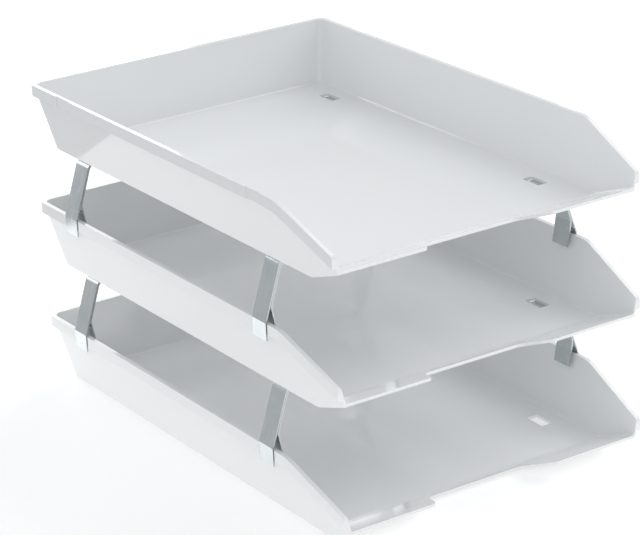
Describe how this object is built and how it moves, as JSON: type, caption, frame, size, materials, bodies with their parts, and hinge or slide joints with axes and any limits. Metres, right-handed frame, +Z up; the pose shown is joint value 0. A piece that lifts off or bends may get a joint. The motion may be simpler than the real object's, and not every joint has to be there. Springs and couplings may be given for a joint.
{
  "type": "letter tray stack",
  "caption": "Stack of open-front letter trays with flared walls and a hanging rim, held apart by folded steel risers that clip over the rims and key into slots in the floor above.",
  "frame": {"origin": "middle of the outline, on the surface that the bottom tray stands on", "axes": "+X to the right as seen from the open front, +Y along the trays towards the closed back wall, +Z up"},
  "size_m": [0.256, 0.383, 0.2275],
  "materials": {
    "tray_plastic": "glossy white moulded polystyrene",
    "riser_steel": "bright brushed strip with sheared edges"
  },
  "bodies": {
    "bottom_tray": {"bottom_tray": "tray_plastic"},
    "lower_risers": {"lower_riser_front_left": "riser_steel", "lower_riser_front_right": "riser_steel", "lower_riser_rear_left": "riser_steel", "lower_riser_rear_right": "riser_steel"},
    "middle_tray": {"middle_tray": "tray_plastic"},
    "upper_risers": {"upper_riser_front_left": "riser_steel", "upper_riser_front_right": "riser_steel", "upper_riser_rear_left": "riser_steel", "upper_riser_rear_right": "riser_steel"},
    "top_tray": {"top_tray": "tray_plastic"}
  },
  "joints": [
    {"name": "lower_risers_lift", "type": "slide", "parent": "bottom_tray", "child": "lower_risers", "axis": [0, 0, 1], "range_m": [0, 0.02]},
    {"name": "middle_tray_lift", "type": "slide", "parent": "lower_risers", "child": "middle_tray", "axis": [0, 0, 1], "range_m": [0, 0.03]},
    {"name": "upper_risers_lift", "type": "slide", "parent": "middle_tray", "child": "upper_risers", "axis": [0, 0, 1], "range_m": [0, 0.02]},
    {"name": "top_tray_lift", "type": "slide", "parent": "upper_risers", "child": "top_tray", "axis": [0, 0, 1], "range_m": [0, 0.03]}
  ]
}
